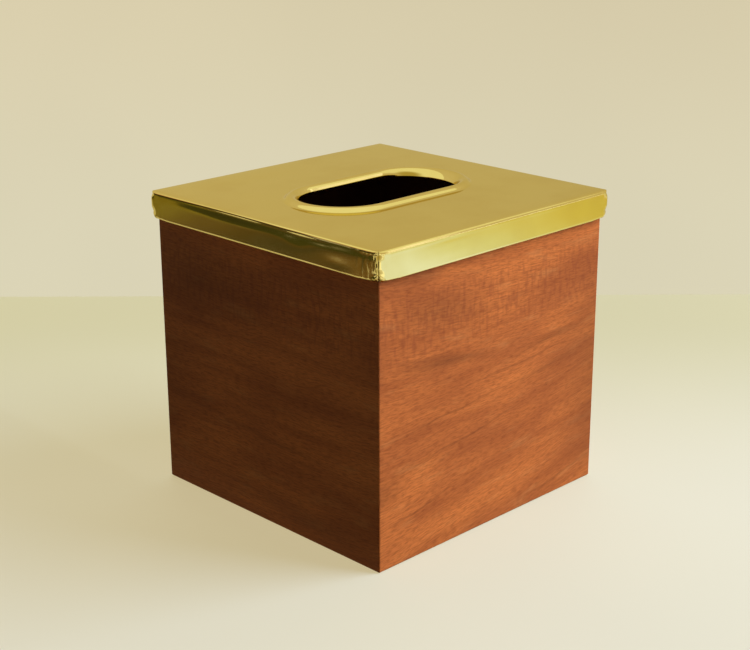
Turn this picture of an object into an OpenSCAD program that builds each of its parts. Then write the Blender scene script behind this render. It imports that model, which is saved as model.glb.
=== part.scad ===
// Tissue box holder: a mitred wooden box for a cube of tissues, with a lift-off lid folded from
// one sheet of brass. Millimetres, +Z up, origin on the table under the middle of the box.
// The front is -Y, and the slot in the lid runs from left to right along X.

/* [Box] */
// Outside width and depth of the wooden box
body_w = 140; // [120:1:180]
// Height of the wooden walls
wall_h = 137.5; // [90:0.5:180]
// Thickness of the wooden walls
wall_t = 9; // [6:0.5:14]
// Radius sanded on the four upright edges
corner_r = 0.8; // [0.4:0.1:2]
// Bevel sanded along the foot of the walls
foot_bevel = 0.6; // [0.2:0.1:1.5]

/* [Base panel] */
// Thickness of the base panel
base_t = 4; // [3:0.5:6]
// Height of the base panel's underside above the table
base_lift = 4; // [3:0.5:12]
// Depth of the groove that holds the base panel
groove_depth = 4; // [2:0.5:5]
// Clearance of the base panel in its groove, at its edges and above it
base_clear = 0.2; // [0.1:0.05:0.4]

/* [Lid] */
// Thickness of the brass sheet
sheet_t = 0.9; // [0.6:0.1:1.2]
// Height of the folded rim, from its bottom edge to the top of the lid
rim_h = 12.5; // [10:0.5:20]
// Clearance between the rim and the walls, all round
lid_clear = 0.5; // [0.2:0.1:0.8]
// Inside radius of the fold between the top and the rim
fold_r = 0.6; // [0.4:0.1:1]
// How much wider than the fold the lid's upright corners are rounded
corner_ease = 0.4; // [0.3:0.1:1.2]

/* [Hem] */
// Height of the hem, where the rim's edge is folded up inside itself
hem_h = 5; // [3:0.5:8]
// Gap that is left inside the hem
hem_gap = 0.2; // [0.1:0.05:0.4]
// Radius of the two flaps' lower ends, which leave a notch at each corner
flap_r = 3.8; // [3.2:0.1:6]
// Width of the groove along each corner's soldered seam
seam_w = 0.4; // [0.2:0.1:0.6]
// Depth of the groove along each corner's soldered seam
seam_depth = 0.3; // [0.1:0.05:0.4]

/* [Slot] */
// Length of the slot
slot_l = 84.5; // [60:0.5:100]
// Width of the slot
slot_w = 40.5; // [30:0.5:50]
// Outside radius of the bead raised round the slot
bead_r = 2.8; // [2.4:0.1:3.5]
// Height of the bead above the top of the lid
bead_h = 1.9; // [1.5:0.1:2.4]
// Length of the straight lip that is turned down on the slot's side of the bead
lip_drop = 1.1; // [0.5:0.1:4]

/* [Hidden] */
$fn = 96;

// Colours of the finished surfaces
WOOD = [0.58, 0.29, 0.16];
PLYWOOD = [0.80, 0.66, 0.46];
BRASS = [0.80, 0.68, 0.30];

// How far a cut runs past the surface that it opens
past = 1;

// Half widths of the box outside and inside
half_out = body_w / 2;
half_in = half_out - wall_t;

// The base panel fills the groove, less its clearance
groove_h = base_t + base_clear;
base_w = 2 * (half_in + groove_depth - base_clear);

// The rim hangs outside the walls: clearance, the hem's inner leaf, its gap, then the outer leaf
lid_half = half_out + lid_clear + 2 * sheet_t + hem_gap;
lid_top = wall_h + sheet_t;
fold_out_r = fold_r + sheet_t;
lid_corner_r = fold_out_r + corner_ease;
plate_half = lid_half - lid_corner_r;
hem_r = sheet_t + hem_gap / 2;

// How far the centre of the bead's crest lies below the top of the lid
bead_sink = bead_r - bead_h;
// The crest meets the hollow beside it on the line between their two centres, and that line is
// the long side of a 3-4-5 triangle
hollow_r = (3 * bead_r - 5 * bead_sink) / 2;
hollow_reach = (bead_r + hollow_r) * 4 / 5;
bead_angle = atan2(3, 4);
bead_foot = slot_w / 2 + bead_r + hollow_reach;
slot_straight = slot_l - slot_w;
// Flat strip of the lid's top that is swept with the bead
bead_land = 2 * sheet_t;

// A square with round corners, built from true circles
module rounded_square(side, r) {
    square([side, side - 2 * r], center = true);
    square([side - 2 * r, side], center = true);
    for (x = [-1, 1], y = [-1, 1])
        translate([x, y] * (side / 2 - r)) circle(r);
}

// A slot outline with its straight part along X, and everything within r of that line
module stadium(straight, r) {
    square([straight, 2 * r], center = true);
    for (x = [-1, 1])
        translate([x * straight / 2, 0]) circle(r);
}

// The sector of a ring between two angles: sheet of thickness r_out - r_in, bent round a point
module bent_sheet(r_out, r_in, from, to) {
    steps = ceil((to - from) / 45);
    reach = 2 * r_out;
    rays = [for (i = [0:steps]) let (a = from + (to - from) * i / steps) reach * [cos(a), sin(a)]];
    intersection() {
        difference() {
            circle(r_out);
            circle(r_in);
        }
        polygon(concat([[0, 0]], rays));
    }
}

// The front wall's outline from above, mitred at 45 degrees where it meets its neighbours
module mitred_outline() {
    polygon([
        [-half_out, -half_out], [half_out, -half_out],
        [half_in, -half_in], [-half_in, -half_in],
    ]);
}

// One wall, in the front wall's place: mitred ends, sanded edges and the groove for the base
module wall_panel() {
    bevel_side = foot_bevel * sqrt(2);
    difference() {
        linear_extrude(wall_h) intersection() {
            mitred_outline();
            rounded_square(body_w, corner_r);
        }
        translate([0, -half_out, 0]) rotate([45, 0, 0])
            cube([body_w + 2 * past, bevel_side, bevel_side], center = true);
        translate([-half_out, -half_in - groove_depth, base_lift])
            cube([body_w, groove_depth + past, groove_h]);
    }
}

module wall_front() {
    color(WOOD) wall_panel();
}

module wall_right() {
    color(WOOD) rotate(90) wall_panel();
}

module wall_back() {
    color(WOOD) rotate(180) wall_panel();
}

module wall_left() {
    color(WOOD) rotate(270) wall_panel();
}

// The base panel stands on the groove's lower edge and reaches into all four walls
module base_panel() {
    color(PLYWOOD) translate([0, 0, base_lift])
        linear_extrude(base_t) square(base_w, center = true);
}

// Section of the lid's top and fold, and of a leaf that hangs down to the given height. X runs
// outwards from the centre of the upright corner, and the lid's top is at 0.
module folded_section(leaf_foot) {
    translate([0, -sheet_t]) square([corner_ease, sheet_t]);
    translate([corner_ease, -fold_out_r]) bent_sheet(fold_out_r, fold_r, 0, 90);
    translate([lid_corner_r - sheet_t, leaf_foot]) square([sheet_t, -fold_out_r - leaf_foot]);
}

// Section of a side of the rim, with its hem folded up inside
module hemmed_section() {
    hem_centre = hem_r - rim_h;
    folded_section(hem_centre);
    translate([lid_corner_r - hem_r, hem_centre]) bent_sheet(hem_r, hem_gap / 2, 180, 360);
    translate([lid_corner_r - 2 * sheet_t - hem_gap, hem_centre]) square([sheet_t, hem_h - hem_r]);
}

// Carries a section along Y on the +X side of the lid, between two places on that side
module along_side(from, to) {
    translate([plate_half, to, 0]) rotate([90, 0, 0]) linear_extrude(to - from) children();
}

// What is cut from under a flap so that its lower end is round, seen along Y
module under_flap() {
    reach = lid_half + past;
    translate([0, reach, 0]) rotate([90, 0, 0]) linear_extrude(reach) difference() {
        translate([lid_half - flap_r, -rim_h - past]) square([flap_r + past, flap_r + past]);
        translate([lid_half - flap_r, flap_r - rim_h]) circle(flap_r);
    }
}

// The corner where two flaps of the rim meet: rounded, notched below and soldered up the seam
module rim_corner() {
    seam_out = plate_half * sqrt(2) + lid_corner_r;
    difference() {
        union() {
            translate([plate_half, plate_half, 0])
                rotate_extrude(angle = 90) folded_section(-rim_h);
            along_side(lid_half - flap_r, plate_half) folded_section(-rim_h);
            mirror([1, -1, 0]) along_side(lid_half - flap_r, plate_half) folded_section(-rim_h);
        }
        intersection() {
            under_flap();
            mirror([1, -1, 0]) under_flap();
        }
        rotate(45) translate([seam_out - seam_depth, -seam_w / 2, -rim_h])
            cube([seam_depth + past, seam_w, rim_h - fold_out_r]);
    }
}

// Section of the bead: the turned-down lip, the crest, the hollow and a strip of the flat top.
// X runs outwards from the slot's centre line, and the lid's top is at 0.
module bead_section() {
    translate([slot_w / 2, -bead_sink - lip_drop]) square([sheet_t, lip_drop]);
    translate([slot_w / 2 + bead_r, -bead_sink])
        bent_sheet(bead_r, bead_r - sheet_t, bead_angle, 180);
    translate([bead_foot, hollow_r])
        bent_sheet(hollow_r + sheet_t, hollow_r, 180 + bead_angle, 270);
    translate([bead_foot, -sheet_t]) square([bead_land, sheet_t]);
}

// The drawn bead that stiffens the slot and gives the tissues a smooth edge
module slot_bead() {
    for (turn = [0, 180]) rotate(turn) {
        translate([slot_straight / 2, 0, 0]) rotate(-90) rotate_extrude(angle = 180) bead_section();
        translate([-slot_straight / 2, 0, 0]) rotate([90, 0, 90])
            linear_extrude(slot_straight) bead_section();
    }
}

// One sheet of brass with a flat top, a hemmed rim on four sides and a beaded slot. It is drawn
// with its top at 0 and rests on the walls.
module lid() {
    color(BRASS) translate([0, 0, lid_top]) union() {
        translate([0, 0, -sheet_t]) linear_extrude(sheet_t) difference() {
            square(2 * plate_half, center = true);
            stadium(slot_straight, bead_foot + bead_land);
        }
        slot_bead();
        for (turn = [0:90:270]) rotate(turn) {
            along_side(flap_r - lid_half, lid_half - flap_r) hemmed_section();
            rim_corner();
        }
    }
}

wall_front();
wall_back();
wall_left();
wall_right();
base_panel();
lid();
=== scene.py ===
"""Looks of the tissue box holder: a mitred sapele box under a lift-off lid of folded brass sheet.

Sizes are millimetres in the dataclasses and metres in Blender. The holder stands on the floor at
z = 0 with its middle at the origin, its front faces -Y and the slot in its lid runs along X.
"""

import logging
import math
from dataclasses import dataclass
from enum import Enum

import bpy
import numpy as np
from mathutils import Matrix, Vector, noise


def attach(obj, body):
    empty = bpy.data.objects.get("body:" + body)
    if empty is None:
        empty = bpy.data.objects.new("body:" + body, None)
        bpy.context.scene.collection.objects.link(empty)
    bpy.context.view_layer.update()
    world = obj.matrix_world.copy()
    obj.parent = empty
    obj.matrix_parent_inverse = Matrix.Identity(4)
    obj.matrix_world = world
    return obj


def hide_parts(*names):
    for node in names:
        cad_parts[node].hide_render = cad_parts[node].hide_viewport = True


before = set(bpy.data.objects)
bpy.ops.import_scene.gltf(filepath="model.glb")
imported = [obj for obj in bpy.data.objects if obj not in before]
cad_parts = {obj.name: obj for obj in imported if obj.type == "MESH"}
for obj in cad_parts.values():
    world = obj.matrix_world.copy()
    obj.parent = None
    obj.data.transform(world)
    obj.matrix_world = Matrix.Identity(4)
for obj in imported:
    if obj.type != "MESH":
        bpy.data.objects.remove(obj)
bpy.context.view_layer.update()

MM = 0.001
LOG = logging.getLogger("tissue_box_holder")

Point = tuple[float, float]
Pair = tuple[float, float]
Triple = tuple[float, float, float]
Tree = bpy.types.NodeTree
Node = bpy.types.Node
Socket = bpy.types.NodeSocket
Outputs = bpy.types.NodeOutputs
Object = bpy.types.Object
Material = bpy.types.Material


def linear(hex_colour: str) -> tuple[float, float, float, float]:
    """Turn an sRGB hex colour into the linear RGBA that Blender's sockets take.

    Args:
        hex_colour: six hex digits after a hash sign.

    Returns:
        Linear red, green and blue, and an alpha of 1.
    """
    parts = [int(hex_colour[i : i + 2], 16) / 255 for i in (1, 3, 5)]
    red, green, blue = (c / 12.92 if c <= 0.04045 else ((c + 0.055) / 1.055) ** 2.4 for c in parts)
    return red, green, blue, 1.0


def feed(node: Node, inputs: dict[str | int, object]) -> None:
    """Give a node's inputs their plain values and their links.

    Args:
        node: the node.
        inputs: a value, a socket, or a node whose first output is meant, by socket name or number.
    """
    for key, value in inputs.items():
        if isinstance(value, Node):
            value = value.outputs[0]
        if isinstance(value, Socket):
            node.id_data.links.new(value, node.inputs[key])
        else:
            node.inputs[key].default_value = value


def add(tree: Tree, kind: str, *values: object, **settings: object) -> Node:
    """Add one node to a tree, with its settings, its plain values and its links.

    Args:
        tree: the node tree to add to.
        kind: the node's type name, in which a leading ShaderNode is left out, and after a space
            its operation if it has one.
        values: what the inputs take, in order, or one dict of them as feed takes it.
        settings: the node's other properties, such as data_type.

    Returns:
        The new node.
    """
    kind, _, operation = kind.partition(" ")
    full = kind.startswith(("GeometryNode", "FunctionNode", "NodeGroup"))
    node = tree.nodes.new(kind if full else f"ShaderNode{kind}")
    if operation:
        node.operation = operation
    for name, value in settings.items():
        setattr(node, name, value)
    feed(node, values[0] if values and isinstance(values[0], dict) else dict(enumerate(values)))
    return node


def lay_over(tree: Tree, ground: object, *coats: tuple[object, str]) -> Socket:
    """Lay colours over a ground, one after another.

    Args:
        tree: the tree to add to.
        ground: the first colour, as a hex colour or a socket.
        coats: for each colour the share that it covers, as a number or node, and its hex colour.

    Returns:
        The socket with the colour.
    """
    colour = linear(ground) if isinstance(ground, str) else ground
    for share, tint in coats:
        inputs = {0: share, 6: colour, 7: linear(tint)}
        colour = add(tree, "Mix", inputs, data_type="RGBA").outputs[2]
    return colour


def fade_from(
    tree: Tree, value: object, middle: float, reach: Pair, strength: Pair = (1.0, 0.0)
) -> Node:
    """Fade softly with the distance of a number from a middle.

    Args:
        tree: the tree to add to.
        value: the socket or node with the number.
        middle: the number that it is compared with.
        reach: the distances at which the fade starts and ends.
        strength: what it is before the fade and after it.

    Returns:
        The node with the faded strength.
    """
    away = add(tree, "Math SUBTRACT", value, middle)
    far = add(tree, "Math ABSOLUTE", away)
    return add(tree, "MapRange", far, *reach, *strength, interpolation_type="SMOOTHSTEP")


def seen_or_reflected(tree: Tree) -> Node:
    """Add a node that is 1 for what the camera, a reflection or glass shows, and 0 for light.

    Args:
        tree: the tree of a part of the stage, or of the world.

    Returns:
        The node.
    """
    path = add(tree, "LightPath").outputs
    seen = add(tree, "Math MAXIMUM", path["Is Camera Ray"], path["Is Glossy Ray"])
    return add(tree, "Math MAXIMUM", seen, path["Is Transmission Ray"])


def start_material(name: str) -> tuple[Material, Tree, Node]:
    """Start a material.

    Args:
        name: the material's name.

    Returns:
        The material, its tree and its principled shader.
    """
    material = bpy.data.materials.new(name)
    material.use_nodes = True
    return material, material.node_tree, material.node_tree.nodes["Principled BSDF"]


def own_place(tree: Tree, unit: float = MM, turn: float = 0.0) -> Node:
    """Add a piece's own coordinates, which keep a pattern on the piece when it moves.

    Args:
        tree: the material's tree.
        unit: the length that counts as one, m.
        turn: how far they are turned about +Z, in radians.

    Returns:
        The node with the coordinates.
    """
    place = add(tree, "TexCoord").outputs["Object"]
    return add(tree, "Mapping", {"Vector": place, "Rotation": (0, 0, turn), "Scale": (1 / unit,) * 3})


def stretched_noise(
    tree: Tree, place: Node, pitch: Triple, detail: float, distortion: float = 0.0
) -> Node:
    """Add noise whose features have their own size along each axis.

    Args:
        tree: the material's tree.
        place: the node with the coordinates, in mm.
        pitch: the three sizes, in mm.
        detail: how many finer octaves are added.
        distortion: how far the noise is bent by itself.

    Returns:
        The noise node.
    """
    stretched = add(tree, "VectorMath DIVIDE", place, pitch)
    inputs = {"Vector": stretched, "Scale": 1.0, "Detail": detail, "Distortion": distortion}
    return add(tree, "TexNoise", inputs)


def arc(centre: Point, radius: float, start: float, end: float, steps: int) -> list[Point]:
    """Points along an arc, both ends included.

    Args:
        centre: the arc's centre.
        radius: its radius.
        start: the angle of the first point, in degrees.
        end: the angle of the last point, in degrees.
        steps: how many chords it is drawn with.

    Returns:
        The points in order, in the units of the radius.
    """
    angles = [math.radians(start + (end - start) * i / steps) for i in range(steps + 1)]
    return [(centre[0] + radius * math.cos(a), centre[1] + radius * math.sin(a)) for a in angles]


def line(start: Point, end: Point, steps: int) -> list[Point]:
    """Points along a straight line, both ends included.

    Args:
        start: the first point.
        end: the last point.
        steps: how many parts the line is cut into.

    Returns:
        The points in order.
    """
    (x, y), (far_x, far_y) = start, end
    return [(x + (far_x - x) * i / steps, y + (far_y - y) * i / steps) for i in range(steps + 1)]


def chain(*runs: list[Point]) -> list[Point]:
    """Join runs of points whose ends meet, and drop the doubled points between them."""
    return [*runs[0], *(point for run in runs[1:] for point in run[1:])]


def put(name: str, data: bpy.types.ID) -> Object:
    """Make an object and link it to the scene.

    Args:
        name: the object's name.
        data: its mesh, curve, lamp or camera data.

    Returns:
        The object, at the origin.
    """
    made = bpy.data.objects.new(name, data)
    bpy.context.scene.collection.objects.link(made)
    return made


def evaluated_mesh(shape: Object) -> bpy.types.Mesh:
    """Run an object's modifiers and give their result as a plain mesh."""
    graph = bpy.context.evaluated_depsgraph_get()
    return bpy.data.meshes.new_from_object(shape.evaluated_get(graph), depsgraph=graph)


def draw_curve(name: str, points: list[Point], closed: bool = False) -> Object:
    """Draw a poly curve in the XY plane from points in millimetres.

    Args:
        name: the name of the object and its data.
        points: the curve's points in order.
        closed: whether the last point joins the first.

    Returns:
        The curve object, linked to the scene.
    """
    data = bpy.data.curves.new(name, "CURVE")
    data.dimensions = "3D"
    spline = data.splines.new("POLY")
    spline.points.add(len(points) - 1)
    for slot, (x, y) in zip(spline.points, points):
        slot.co = (x * MM, y * MM, 0, 1)
    spline.use_cyclic_u = closed
    return put(name, data)


class Slot(Enum):
    """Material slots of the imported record."""

    HARDWOOD = "lacquered_hardwood"
    PLYWOOD = "plywood"
    BRASS = "polished_brass"


class Body(Enum):
    """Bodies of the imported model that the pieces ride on."""

    BOX = "box"
    LID = "lid"


class Side(Enum):
    """The box's four sides, each as its turn about +Z from the front, in degrees."""

    FRONT = 0
    RIGHT = 90
    BACK = 180
    LEFT = 270


# Finishes


@dataclass(frozen=True)
class GrainLayer:
    """One scale of the wood's figure, drawn as noise stretched along the grain."""

    pitch: Triple  # size of a feature along, through and across the grain, mm
    low: float  # noise level at which the layer starts to show
    high: float  # noise level at which it shows in full
    tint: str  # colour that the layer turns the wood to
    weight: float  # how far it turns it there
    detail: float = 2.0
    band: Pair | None = None  # heights that the layer keeps to, mm


@dataclass(frozen=True)
class Streak:
    """One dark growth line or band that can be picked out by eye on a board, or a wide band of painted
    shade.
    """

    height: float  # height above the table at the board's middle, mm
    width: float  # from its centre to where it has faded, mm
    middle: float  # place along the board where it is darkest, mm
    reach: float  # how far from there it fades out along the board, mm
    weight: float
    slope: float = 0.0  # rise for each mm along the board


@dataclass(frozen=True)
class Sapele:
    """Sapele, planed, sanded and wiped with matt oil.

    The oil leaves the wood warm and almost without shine. Quartered sapele shows fine dark
    fibres, ribbon figure in bands of a centimetre or two, and soft ripples across the grain.
    """

    name: str
    side: Side
    cut: Triple  # where in the log the board comes from, mm
    lean_foot: float  # slope of the grain at the foot of the board
    lean_top: float  # slope of the grain at its top
    bow: float  # how much the slope grows for each mm along the board
    streaks: tuple[Streak, ...]
    ground: str = "#DC8247"
    layers: tuple[GrainLayer, ...] = (
        GrainLayer((70, 50, 24), 0.38, 0.66, "#A25834", 0.55),
        GrainLayer((90, 20, 9), 0.44, 0.72, "#984E2C", 0.36, 3.0),
        GrainLayer((45, 8, 3.2), 0.44, 0.72, "#8E4828", 0.22, 3.0),
        GrainLayer((26, 4, 1.0), 0.42, 0.70, "#80402A", 0.22, 3.0),
        GrainLayer((4, 1.2, 0.55), 0.40, 0.70, "#7A3C22", 0.42),
        GrainLayer((22, 9, 4), 0.55, 0.80, "#E8A468", 0.24, 3.0),
        GrainLayer((2.1, 10, 7), 0.44, 0.68, "#8A4630", 0.32, 1.0, (88, 118)),
        GrainLayer((2.4, 0.5, 0.45), 0.60, 0.78, "#5E2812", 0.32, 1.0),
    )
    outside_band: float = 0.12  # how much of a layer is left away from its band
    lean_height: float = 130.0  # height at which the grain has the slope of the top, mm
    wander: float = 7.0  # how far the grain strays from a straight line, mm
    swing: float = 6.0  # how far a streak strays, mm
    growth_and_shade: str = "#6E3C24"  # colour of the streaks, both growth lines and painted shade
    pore: Triple = (3.2, 0.5, 0.42)
    fibre: Triple = (9, 0.6, 0.5)
    relief: float = 0.03  # height of the fibres and depth of the pores, mm
    roughness: Pair = (0.50, 0.60)
    shine: float = 0.12  # matt oil hardly reflects
    inside_shade: str = "#5C4332"  # painted shade: the inside is darkened, so that the slot shows it almost black
    inside_shade_share: float = 0.9  # how far the painted shade darkens the inside
    rougher: float = 0.22  # how much rougher the darkened inside is
    inner_face: float = 61.25  # distance from the middle that the painted shade reaches, mm

    def build(self) -> Material:
        """Build the material from the board's own coordinates in millimetres.

        Returns:
            The finished material.
        """
        material, tree, shader = start_material(self.name)
        board = own_place(tree, turn=-math.radians(self.side.value))
        split = add(tree, "SeparateXYZ", board).outputs
        grain = self._grain(tree, board, split)
        figured = self._figure(tree, grain, split)
        oiled = self._growth_lines_and_shade(tree, board, split, figured)
        # painted shade: the inside of the box is darkened
        colour, inside = self._shade_inside(tree, split, oiled)
        pores = stretched_noise(tree, grain, self.pore, 1.0)
        depth = add(tree, "MapRange", pores, 0.58, 0.72, 0.0, -1.0)
        fine = stretched_noise(tree, grain, self.fibre, 2.0)
        height = add(tree, "Math MULTIPLY_ADD", fine, 0.35, depth)
        bump = add(tree, "Bump", {"Height": height, "Strength": 0.5, "Distance": self.relief * MM})
        sheen = add(tree, "MapRange", fine, 0.3, 0.7, *self.roughness)
        rough = add(tree, "Math MULTIPLY_ADD", inside, self.rougher, sheen)
        feed(shader, {"Base Color": colour, "Roughness": rough, "Normal": bump})
        feed(shader, {"Specular IOR Level": self.shine})
        return material

    def _grain(self, tree: Tree, board: Node, split: Outputs) -> Node:
        """Bend the board's coordinates so that its heights follow the slope of the grain.

        Args:
            tree: the material's tree.
            board: the node with the board's coordinates in mm.
            split: the same coordinates as three numbers.

        Returns:
            A node with the coordinates along, through and across the grain, in mm.
        """
        x, y, z = split
        lean = add(tree, "MapRange", z, 0.0, self.lean_height, self.lean_foot, self.lean_top)
        slope = add(tree, "Math MULTIPLY_ADD", x, self.bow, lean)
        rise = add(tree, "Math MULTIPLY", slope, x)
        level = add(tree, "Math SUBTRACT", z, rise)
        stray = stretched_noise(tree, board, (90, 60, 45), 2.0)
        drift = add(tree, "Math MULTIPLY_ADD", stray, self.wander, level)
        along = add(tree, "CombineXYZ", x, y, drift)
        return add(tree, "VectorMath ADD", along, self.cut)

    def _figure(self, tree: Tree, grain: Node, split: Outputs) -> Socket:
        """Lay the figure's scales over the ground colour.

        Args:
            tree: the material's tree.
            grain: the coordinates along the grain.
            split: the board's own coordinates.

        Returns:
            The socket with the colour.
        """
        coats = []
        for layer in self.layers:
            level = stretched_noise(tree, grain, layer.pitch, layer.detail)
            limits = (layer.low, layer.high, 0.0, layer.weight)
            shown = add(tree, "MapRange", level, *limits, interpolation_type="SMOOTHSTEP")
            if layer.band:
                foot, head = layer.band
                half = (head - foot) / 2
                reach = (half * 0.5, half * 1.3)
                near = fade_from(tree, split[2], (foot + head) / 2, reach, (1.0, self.outside_band))
                shown = add(tree, "Math MULTIPLY", shown, near)
            coats.append((shown, layer.tint))
        return lay_over(tree, self.ground, *coats)

    def _growth_lines_and_shade(self, tree: Tree, board: Node, split: Outputs, colour: Socket) -> Socket:
        """Draw the streaks: growth lines, and painted shade where a wide band stands for it.

        Args:
            tree: the material's tree.
            board: the board's own coordinates, in mm.
            split: the same coordinates as three numbers.
            colour: the colour so far.

        Returns:
            The colour with the streaks.
        """
        x, _, z = split
        stray = stretched_noise(tree, board, (30, 60, 26), 2.0)
        wavy = add(tree, "Math MULTIPLY_ADD", stray, self.swing, z)
        total: object = 0.0
        for streak in self.streaks:
            level = add(tree, "Math MULTIPLY_ADD", x, -streak.slope, wavy)
            centre = streak.height - streak.slope * streak.middle + self.swing / 2
            across = fade_from(tree, level, centre, (0.0, streak.width), (streak.weight, 0.0))
            along = fade_from(tree, x, streak.middle, (0.0, streak.reach))
            total = add(tree, "Math MULTIPLY_ADD", across, along, total)
        return lay_over(tree, colour, (total, self.growth_and_shade))

    def _shade_inside(self, tree: Tree, split: Outputs, colour: Socket) -> tuple[Socket, Node]:
        """Darken the inside of the box, a painted shade for the dark that the slot shows.

        Args:
            tree: the material's tree.
            split: the board's own coordinates.
            colour: the colour of the oiled wood.

        Returns:
            The colour, and a node that is 1 on the darkened inside.
        """
        x, y = (add(tree, "Math ABSOLUTE", split[i]) for i in (0, 1))
        widest = add(tree, "Math MAXIMUM", x, y)
        inside = add(tree, "Math LESS_THAN", widest, self.inner_face)
        share = add(tree, "Math MULTIPLY", inside, self.inside_shade_share)
        return lay_over(tree, colour, (share, self.inside_shade)), inside


@dataclass(frozen=True)
class BirchPlywood:
    """Birch plywood, sanded and left bare: pale, close-grained and dull."""

    name: str = "Birch_plywood_sanded"
    light: str = "#CFAE7C"
    dark: str = "#B48F5E"
    glue: str = "#8A6238"
    ply: float = 1.33  # thickness of one veneer, mm
    glue_line: float = 0.12  # mm
    figure: Triple = (110, 9, 9)
    fleck: Triple = (2.4, 0.3, 0.3)
    relief: float = 0.05  # mm
    roughness: Pair = (0.6, 0.72)

    def build(self) -> Material:
        """Build the material: face figure on top and bottom, veneers along the edges.

        Returns:
            The finished material.
        """
        material, tree, shader = start_material(self.name)
        sheet = own_place(tree)
        figure = stretched_noise(tree, sheet, self.figure, 5.0, 0.6)
        shown = add(tree, "MapRange", figure, 0.35, 0.65)
        fleck = stretched_noise(tree, sheet, self.fleck, 1.0)
        flecked = add(tree, "MapRange", fleck, 0.55, 0.75, 0.0, 0.35)
        height = add(tree, "SeparateXYZ", sheet).outputs[2]
        layer = add(tree, "Math FLOORED_MODULO", height, self.ply)
        seam = add(tree, "Math LESS_THAN", layer, self.glue_line)
        flat = add(tree, "NewGeometry").outputs["True Normal"]
        upright = add(tree, "SeparateXYZ", flat).outputs[2]
        level = add(tree, "Math ABSOLUTE", upright)
        edge = add(tree, "Math LESS_THAN", level, 0.5)
        glued = add(tree, "Math MULTIPLY", seam, edge)
        coats = ((shown, self.dark), (flecked, self.glue), (glued, self.glue))
        colour = lay_over(tree, self.light, *coats)
        bump = add(tree, "Bump", {"Height": fleck, "Strength": 0.4, "Distance": self.relief * MM})
        rough = add(tree, "MapRange", fleck, 0.3, 0.7, *self.roughness)
        feed(shader, {"Base Color": colour, "Roughness": rough, "Normal": bump})
        return material


@dataclass(frozen=True)
class PolishedBrass:
    """Yellow brass sheet, buffed by hand.

    The buffing leaves a near mirror with soft long waves, faint hairlines and a few patches that
    handling has dulled, so what it reflects stays readable but is never quite sharp. The seams up
    the corners keep a line of old polish.
    """

    name: str = "Polished_brass_sheet"
    bright: str = "#E7D387"
    handled: str = "#E2CC7E"
    glancing: str = "#EEE7C9"  # how much of its colour the brass keeps at a glancing angle
    old_polish: str = "#5C4A17"
    polish_left: float = 0.3  # how much of it the seams keep
    seam_from: float = 70.9  # distance from the lid's middle lines at which a seam starts, mm
    seam_half: float = 0.2  # from a seam's middle to where the old polish gets thinner, mm
    seam_reach: float = 0.45  # and to where it ends, mm
    patch: Triple = (26, 26, 18)  # size of the dulled patches, mm
    wave: float = 14.0  # length of the waves that buffing leaves, mm
    wave_depth: float = 0.04  # mm
    hairline: Triple = (9.0, 0.22, 0.22)  # hairlines are drawn wider than life
    roughness: Pair = (0.06, 0.10)
    duller: float = 0.04  # how much rougher the dulled patches are

    def build(self) -> Material:
        """Build the material.

        Returns:
            The finished material.
        """
        material, tree, shader = start_material(self.name)
        sheet = own_place(tree)
        patches = stretched_noise(tree, sheet, self.patch, 3.0)
        dulled = add(tree, "MapRange", patches, 0.42, 0.68)
        coats = ((dulled, self.handled), (self._seams(tree, sheet), self.old_polish))
        colour = lay_over(tree, self.bright, *coats)
        lines = stretched_noise(tree, sheet, self.hairline, 1.0)
        scored = add(tree, "MapRange", lines, 0.45, 0.75, *self.roughness)
        rough = add(tree, "Math MULTIPLY_ADD", dulled, self.duller, scored)
        waves = stretched_noise(tree, sheet, (self.wave,) * 3, 1.0)
        height = add(tree, "Math MULTIPLY_ADD", lines, 0.012, waves)
        bump = add(tree, "Bump", {"Height": height, "Strength": 1.0, "Distance": self.wave_depth * MM})
        feed(shader, {"Base Color": colour, "Roughness": rough, "Normal": bump, "Metallic": 1.0})
        feed(shader, {"Specular Tint": linear(self.glancing)})
        return material

    def _seams(self, tree: Tree, sheet: Node) -> Node:
        """Find the four corner seams.

        Args:
            tree: the material's tree.
            sheet: the node with the lid's coordinates in mm.

        Returns:
            A node that is polish_left in the middle of a seam and 0 beside it.
        """
        split = add(tree, "SeparateXYZ", sheet).outputs
        x, y = (add(tree, "Math ABSOLUTE", split[i]) for i in (0, 1))
        away = add(tree, "Math ABSOLUTE", add(tree, "Math SUBTRACT", x, y))
        nearer = add(tree, "Math MINIMUM", x, y)
        cornered = add(tree, "Math GREATER_THAN", nearer, self.seam_from)
        faded = add(tree, "MapRange", away, self.seam_half, self.seam_reach, self.polish_left, 0.0)
        return add(tree, "Math MULTIPLY", faded, cornered)


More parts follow.
